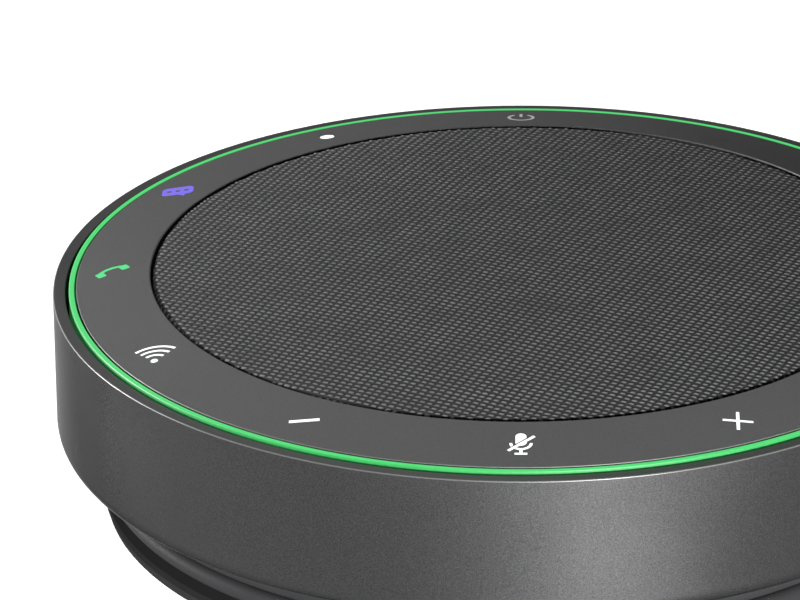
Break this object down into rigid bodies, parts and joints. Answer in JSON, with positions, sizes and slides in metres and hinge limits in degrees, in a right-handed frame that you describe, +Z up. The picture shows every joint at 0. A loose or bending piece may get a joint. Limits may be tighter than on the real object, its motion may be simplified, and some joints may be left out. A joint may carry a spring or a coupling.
{
  "type": "conference speakerphone",
  "caption": "Round desk speakerphone with a woven grille, a sloping ring of lit push keys, a lit outer ring and a USB lead wound in a groove under its body.",
  "frame": {"origin": "centre of the face the unit stands on", "axes": "+Z up through the grille, -Y towards the user, on the side of the mute key"},
  "size_m": [0.1324, 0.1325, 0.0358],
  "materials": {
    "grey_shell": "satin dark grey with a fine metallic grain",
    "grey_ring": "satin grey, very fine texture",
    "lit_green": "lit diffuser",
    "grille_cloth": "coarse two-tone woven grille cloth",
    "black_plastic": "fine matte moulding",
    "black_rubber": "matte rubber",
    "label": "blank matte label",
    "cable_jacket": "satin cable jacket",
    "plug_moulding": "soft matte moulding",
    "plug_metal": "drawn steel shell",
    "circuit_board": "solder mask",
    "silicone": "matte silicone",
    "steel": "plain plated steel",
    "battery_wrap": "shrink wrap",
    "ribbon": "polyimide film",
    "ferrite": "sintered ferrite",
    "foam": "closed-cell foam",
    "spider_cloth": "resin-stiffened cloth",
    "copper": "enamelled winding",
    "cone_paper": "pressed paper",
    "lit_white": "lit light guide",
    "lit_green_key": "lit light guide",
    "lit_red": "lit light guide",
    "lit_violet": "lit light guide"
  },
  "bodies": {
    "unit": {"outer_housing": "grey_shell", "light_ring": "lit_green", "button_ring": "grey_ring", "grille_fabric": "grille_cloth", "grille_frame": "black_plastic", "cable_drum": "black_plastic", "base_plate": "black_plastic", "foot_ring": "black_rubber", "label_plate": "label", "cable_gland": "black_rubber", "usb_cable": "cable_jacket", "plug_body": "plug_moulding", "plug_shell": "plug_metal", "key_board": "circuit_board", "switch_mat": "silicone", "main_board": "circuit_board", "shield_can": "steel", "battery_pack": "battery_wrap", "board_ribbon": "ribbon", "antenna_board": "circuit_board", "microphone_1": "black_rubber", "microphone_2": "black_rubber", "microphone_3": "black_rubber", "microphone_4": "black_rubber", "chassis": "black_plastic", "speaker_chamber": "black_plastic", "yoke": "steel", "magnet": "ferrite", "pole_plate": "steel", "speaker_basket": "steel", "speaker_surround": "black_rubber", "speaker_gasket": "foam", "spider": "spider_cloth", "base_screw_1": "steel", "base_screw_2": "steel", "base_screw_3": "steel", "base_screw_4": "steel", "speaker_screw_1": "steel", "speaker_screw_2": "steel", "speaker_screw_3": "steel"},
    "cone": {"speaker_cone": "cone_paper", "dust_cap": "cone_paper", "voice_coil": "copper"},
    "key_mute_body": {"key_mute": "lit_white"},
    "key_volume_up_body": {"key_volume_up": "lit_white"},
    "key_link_body": {"key_link": "lit_white"},
    "key_end_call_body": {"key_end_call": "lit_red"},
    "key_battery_body": {"key_battery": "lit_white"},
    "key_power_body": {"key_power": "lit_white"},
    "key_shortcut_body": {"key_shortcut": "lit_white"},
    "key_meeting_body": {"key_meeting": "lit_violet"},
    "key_answer_body": {"key_answer": "lit_green_key"},
    "key_wireless_body": {"key_wireless": "lit_white"},
    "key_volume_down_body": {"key_volume_down": "lit_white"}
  },
  "joints": [
    {"name": "cone_slide", "type": "slide", "parent": "unit", "child": "cone", "axis": [0, 0, 1], "range_m": [-0.001, 0.001], "stiffness_N_per_m": 1500, "deforming": ["speaker_surround", "spider"]},
    {"name": "key_mute_press", "type": "slide", "parent": "unit", "child": "key_mute_body", "axis": [0, 0, -1], "range_m": [0, 0.0003], "stiffness_N_per_m": 1200},
    {"name": "key_volume_up_press", "type": "slide", "parent": "unit", "child": "key_volume_up_body", "axis": [0, 0, -1], "range_m": [0, 0.0003], "stiffness_N_per_m": 1200},
    {"name": "key_link_press", "type": "slide", "parent": "unit", "child": "key_link_body", "axis": [0, 0, -1], "range_m": [0, 0.0003], "stiffness_N_per_m": 1200},
    {"name": "key_end_call_press", "type": "slide", "parent": "unit", "child": "key_end_call_body", "axis": [0, 0, -1], "range_m": [0, 0.0003], "stiffness_N_per_m": 1200},
    {"name": "key_battery_press", "type": "slide", "parent": "unit", "child": "key_battery_body", "axis": [0, 0, -1], "range_m": [0, 0.0003], "stiffness_N_per_m": 1200},
    {"name": "key_power_press", "type": "slide", "parent": "unit", "child": "key_power_body", "axis": [0, 0, -1], "range_m": [0, 0.0003], "stiffness_N_per_m": 1200},
    {"name": "key_shortcut_press", "type": "slide", "parent": "unit", "child": "key_shortcut_body", "axis": [0, 0, -1], "range_m": [0, 0.0003], "stiffness_N_per_m": 1200},
    {"name": "key_meeting_press", "type": "slide", "parent": "unit", "child": "key_meeting_body", "axis": [0, 0, -1], "range_m": [0, 0.0003], "stiffness_N_per_m": 1200},
    {"name": "key_answer_press", "type": "slide", "parent": "unit", "child": "key_answer_body", "axis": [0, 0, -1], "range_m": [0, 0.0003], "stiffness_N_per_m": 1200},
    {"name": "key_wireless_press", "type": "slide", "parent": "unit", "child": "key_wireless_body", "axis": [0, 0, -1], "range_m": [0, 0.0003], "stiffness_N_per_m": 1200},
    {"name": "key_volume_down_press", "type": "slide", "parent": "unit", "child": "key_volume_down_body", "axis": [0, 0, -1], "range_m": [0, 0.0003], "stiffness_N_per_m": 1200}
  ]
}
